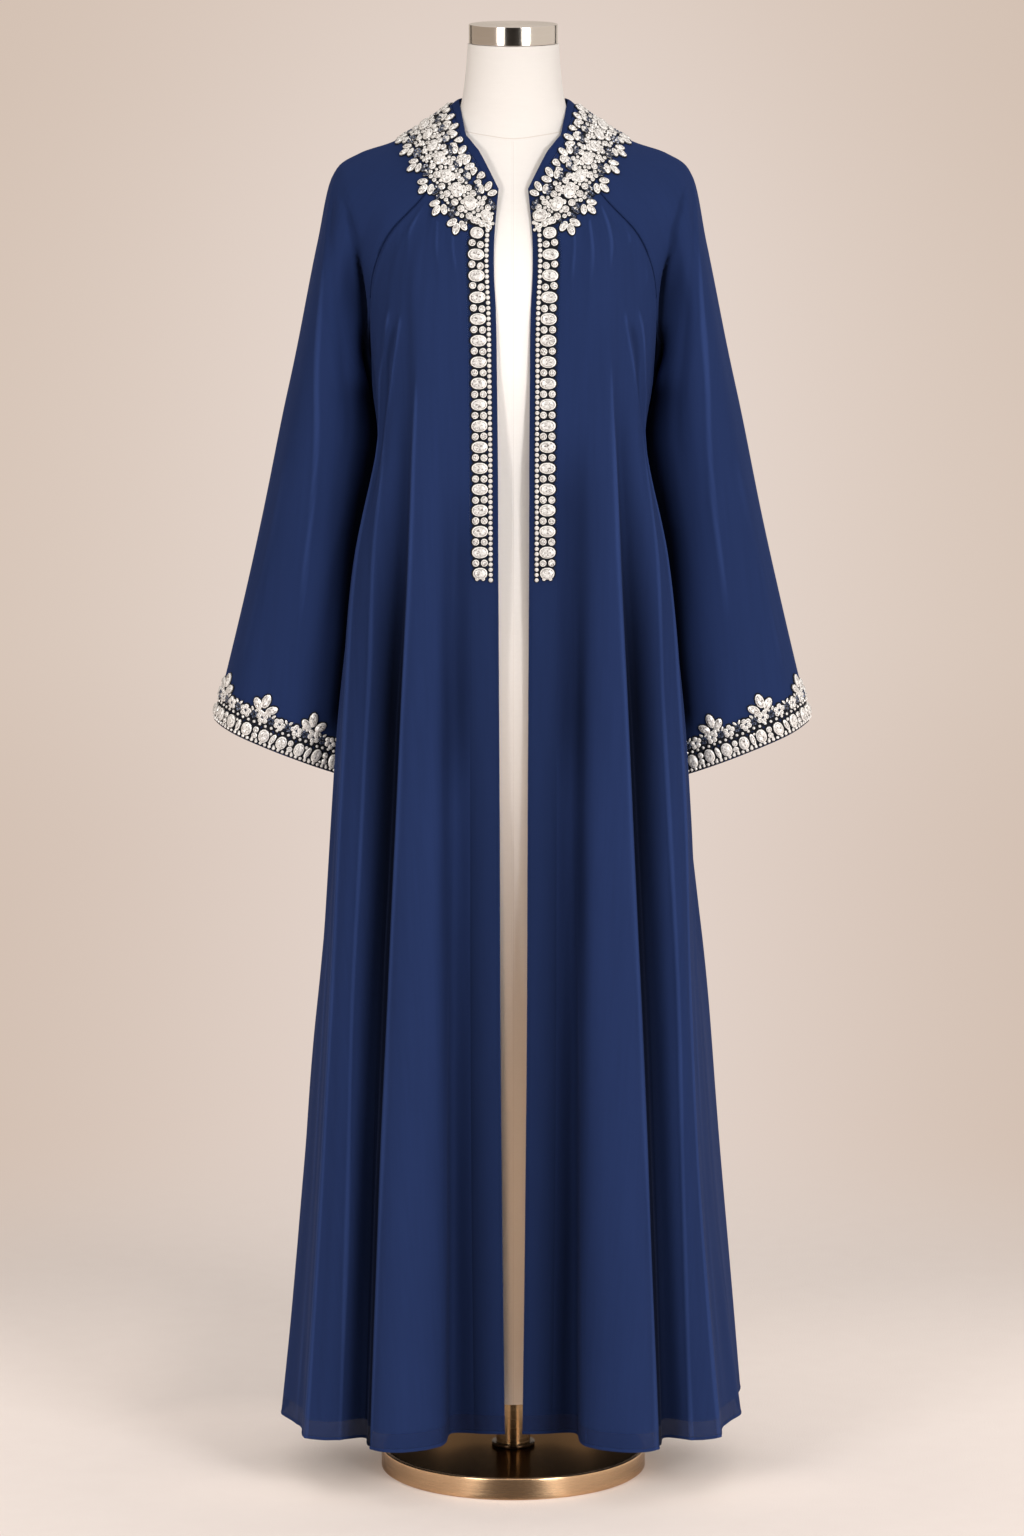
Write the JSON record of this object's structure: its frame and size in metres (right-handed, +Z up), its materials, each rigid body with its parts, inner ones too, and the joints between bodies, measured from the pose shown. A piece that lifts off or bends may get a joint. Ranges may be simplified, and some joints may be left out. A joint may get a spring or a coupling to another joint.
{
  "type": "open abaya cloak with jewelled trims on a limbless dress form with a round stand",
  "caption": "Long open navy abaya cloak with raglan sleeves and crystal trims, worn by a limbless cream dress form on a pole with a round brass base.",
  "frame": {"origin": "centre of the round base's underside, on the floor", "axes": "+Z up the stand, the open front faces -Y, +X to the right as seen from the front"},
  "size_m": [0.6448, 0.362, 1.575],
  "materials": {
    "navy_chiffon": "matt navy crepe chiffon with a soft sheen, sheer where it is single",
    "navy_band": "the same chiffon, doubled and edge stitched",
    "navy_lining": "plain navy lining with a low sheen",
    "crystal_trim": "clear faceted crystals in silver settings on a black backing",
    "cream_cover": "close cream linen cover, stretched smooth",
    "polished_nickel": "polished nickel with a brushed top",
    "brushed_brass": "brushed pale brass",
    "base_bronze": "brushed pale brass rim with a dark polished bronze top"
  },
  "bodies": {
    "root": {"front_left": "navy_chiffon", "front_right": "navy_chiffon", "back_panel": "navy_chiffon", "sleeve_left": "navy_chiffon", "sleeve_right": "navy_chiffon", "front_band_left": "navy_band", "front_band_right": "navy_band", "neck_band": "navy_band", "lining_front_left": "navy_lining", "lining_front_right": "navy_lining", "lining_back": "navy_lining", "collar_trim_left": "crystal_trim", "collar_trim_right": "crystal_trim", "collar_trim_back": "crystal_trim", "front_trim_left": "crystal_trim", "front_trim_right": "crystal_trim", "cuff_trim_left": "crystal_trim", "cuff_trim_right": "crystal_trim", "form_body": "cream_cover", "neck_cap": "polished_nickel", "pole": "brushed_brass", "pole_flange": "brushed_brass", "base_plate": "base_bronze"}
  },
  "joints": []
}
